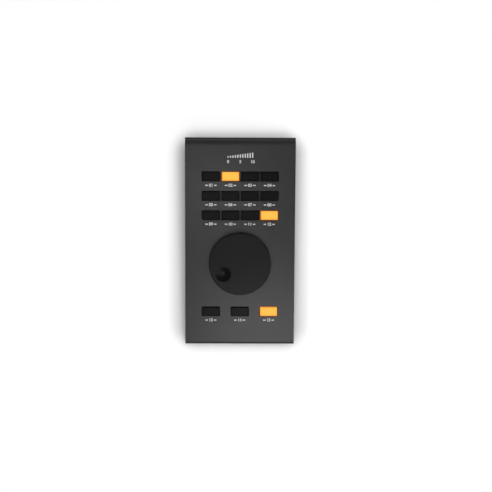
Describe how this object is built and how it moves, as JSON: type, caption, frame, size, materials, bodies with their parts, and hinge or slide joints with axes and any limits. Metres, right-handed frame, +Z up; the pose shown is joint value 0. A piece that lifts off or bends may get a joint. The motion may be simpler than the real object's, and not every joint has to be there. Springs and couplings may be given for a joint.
{
  "type": "studio monitor controller",
  "caption": "Wedge-shaped desktop controller of folded sheet, with a large turning wheel that has a finger dimple, lit push keys above and below it, and sockets at the rear.",
  "frame": {"origin": "centre of the bounding box's underside, on the surface the feet stand on", "axes": "+Z up; +Y to the rear, away from the user; +X to the user's right"},
  "size_m": [0.1078, 0.2052, 0.0509],
  "materials": {
    "panel_paint": "satin dark grey powder coat",
    "foot_rubber": "matte",
    "screw_steel": "zinc plated",
    "black_nylon": "matte",
    "white_nylon": "matte",
    "dome_rubber": "soft silicone",
    "light_resin": "clear resin",
    "wheel_black": "fine black anodised",
    "brass": "turned",
    "nickel_brass": "nickel plated",
    "shaft_steel": "ground",
    "disc_plastic": "printed film",
    "board_black": "black solder mask",
    "shell_tin": "tinned",
    "contact_gold": "gold plated",
    "cable_film": "white film",
    "chip_black": "moulded",
    "cap_smoke": "smoked translucent, unlit",
    "cap_lit": "smoked translucent, lit amber from below",
    "stem_clear": "translucent"
  },
  "bodies": {
    "case": {"top_cover": "panel_paint", "base_tray": "panel_paint", "rubber_feet": "foot_rubber", "case_screws": "screw_steel", "press_nuts": "screw_steel", "switch_housings": "black_nylon", "switch_domes": "dome_rubber", "switch_lights": "light_resin", "encoder_bushing": "nickel_brass", "encoder_body": "black_nylon", "encoder_washer": "screw_steel", "encoder_nut": "nickel_brass", "main_board": "board_black", "board_standoffs": "screw_steel", "board_screws": "screw_steel", "rear_board": "board_black", "usb_shell": "shell_tin", "usb_insulator": "black_nylon", "usb_contacts": "contact_gold", "jack_body": "black_nylon", "jack_bushing": "nickel_brass", "jack_nut": "nickel_brass", "jack_contacts": "contact_gold", "cable_headers": "white_nylon", "flat_cable": "cable_film", "board_parts": "chip_black"},
    "key_01": {"cap_01": "cap_smoke", "stem_01": "stem_clear"},
    "key_02": {"cap_02": "cap_lit", "stem_02": "stem_clear"},
    "key_03": {"cap_03": "cap_smoke", "stem_03": "stem_clear"},
    "key_04": {"cap_04": "cap_smoke", "stem_04": "stem_clear"},
    "key_05": {"cap_05": "cap_smoke", "stem_05": "stem_clear"},
    "key_06": {"cap_06": "cap_smoke", "stem_06": "stem_clear"},
    "key_07": {"cap_07": "cap_smoke", "stem_07": "stem_clear"},
    "key_08": {"cap_08": "cap_smoke", "stem_08": "stem_clear"},
    "key_09": {"cap_09": "cap_smoke", "stem_09": "stem_clear"},
    "key_10": {"cap_10": "cap_smoke", "stem_10": "stem_clear"},
    "key_11": {"cap_11": "cap_smoke", "stem_11": "stem_clear"},
    "key_12": {"cap_12": "cap_lit", "stem_12": "stem_clear"},
    "key_13": {"cap_13": "cap_smoke", "stem_13": "stem_clear"},
    "key_14": {"cap_14": "cap_smoke", "stem_14": "stem_clear"},
    "key_15": {"cap_15": "cap_lit", "stem_15": "stem_clear"},
    "wheel": {"jog_wheel": "wheel_black", "wheel_insert": "brass", "encoder_shaft": "shaft_steel", "code_disc": "disc_plastic"}
  },
  "joints": [
    {"name": "key_01_press", "type": "slide", "parent": "case", "child": "key_01", "axis": [0, 0.1564, -0.9877], "range_m": [0, 0.0012], "stiffness_N_per_m": 1200, "springref_m": -0.0002, "deforming": ["switch_domes"]},
    {"name": "key_02_press", "type": "slide", "parent": "case", "child": "key_02", "axis": [0, 0.1564, -0.9877], "range_m": [0, 0.0012], "stiffness_N_per_m": 1200, "springref_m": -0.0002, "deforming": ["switch_domes"]},
    {"name": "key_03_press", "type": "slide", "parent": "case", "child": "key_03", "axis": [0, 0.1564, -0.9877], "range_m": [0, 0.0012], "stiffness_N_per_m": 1200, "springref_m": -0.0002, "deforming": ["switch_domes"]},
    {"name": "key_04_press", "type": "slide", "parent": "case", "child": "key_04", "axis": [0, 0.1564, -0.9877], "range_m": [0, 0.0012], "stiffness_N_per_m": 1200, "springref_m": -0.0002, "deforming": ["switch_domes"]},
    {"name": "key_05_press", "type": "slide", "parent": "case", "child": "key_05", "axis": [0, 0.1564, -0.9877], "range_m": [0, 0.0012], "stiffness_N_per_m": 1200, "springref_m": -0.0002, "deforming": ["switch_domes"]},
    {"name": "key_06_press", "type": "slide", "parent": "case", "child": "key_06", "axis": [0, 0.1564, -0.9877], "range_m": [0, 0.0012], "stiffness_N_per_m": 1200, "springref_m": -0.0002, "deforming": ["switch_domes"]},
    {"name": "key_07_press", "type": "slide", "parent": "case", "child": "key_07", "axis": [0, 0.1564, -0.9877], "range_m": [0, 0.0012], "stiffness_N_per_m": 1200, "springref_m": -0.0002, "deforming": ["switch_domes"]},
    {"name": "key_08_press", "type": "slide", "parent": "case", "child": "key_08", "axis": [0, 0.1564, -0.9877], "range_m": [0, 0.0012], "stiffness_N_per_m": 1200, "springref_m": -0.0002, "deforming": ["switch_domes"]},
    {"name": "key_09_press", "type": "slide", "parent": "case", "child": "key_09", "axis": [0, 0.1564, -0.9877], "range_m": [0, 0.0012], "stiffness_N_per_m": 1200, "springref_m": -0.0002, "deforming": ["switch_domes"]},
    {"name": "key_10_press", "type": "slide", "parent": "case", "child": "key_10", "axis": [0, 0.1564, -0.9877], "range_m": [0, 0.0012], "stiffness_N_per_m": 1200, "springref_m": -0.0002, "deforming": ["switch_domes"]},
    {"name": "key_11_press", "type": "slide", "parent": "case", "child": "key_11", "axis": [0, 0.1564, -0.9877], "range_m": [0, 0.0012], "stiffness_N_per_m": 1200, "springref_m": -0.0002, "deforming": ["switch_domes"]},
    {"name": "key_12_press", "type": "slide", "parent": "case", "child": "key_12", "axis": [0, 0.1564, -0.9877], "range_m": [0, 0.0012], "stiffness_N_per_m": 1200, "springref_m": -0.0002, "deforming": ["switch_domes"]},
    {"name": "key_13_press", "type": "slide", "parent": "case", "child": "key_13", "axis": [0, 0.1564, -0.9877], "range_m": [0, 0.0012], "stiffness_N_per_m": 1200, "springref_m": -0.0002, "deforming": ["switch_domes"]},
    {"name": "key_14_press", "type": "slide", "parent": "case", "child": "key_14", "axis": [0, 0.1564, -0.9877], "range_m": [0, 0.0012], "stiffness_N_per_m": 1200, "springref_m": -0.0002, "deforming": ["switch_domes"]},
    {"name": "key_15_press", "type": "slide", "parent": "case", "child": "key_15", "axis": [0, 0.1564, -0.9877], "range_m": [0, 0.0012], "stiffness_N_per_m": 1200, "springref_m": -0.0002, "deforming": ["switch_domes"]},
    {"name": "wheel_turn", "type": "hinge", "parent": "case", "child": "wheel", "pos_m": [0, -0.02318, 0.03764], "axis": [0, -0.1564, 0.9877], "continuous": true}
  ]
}
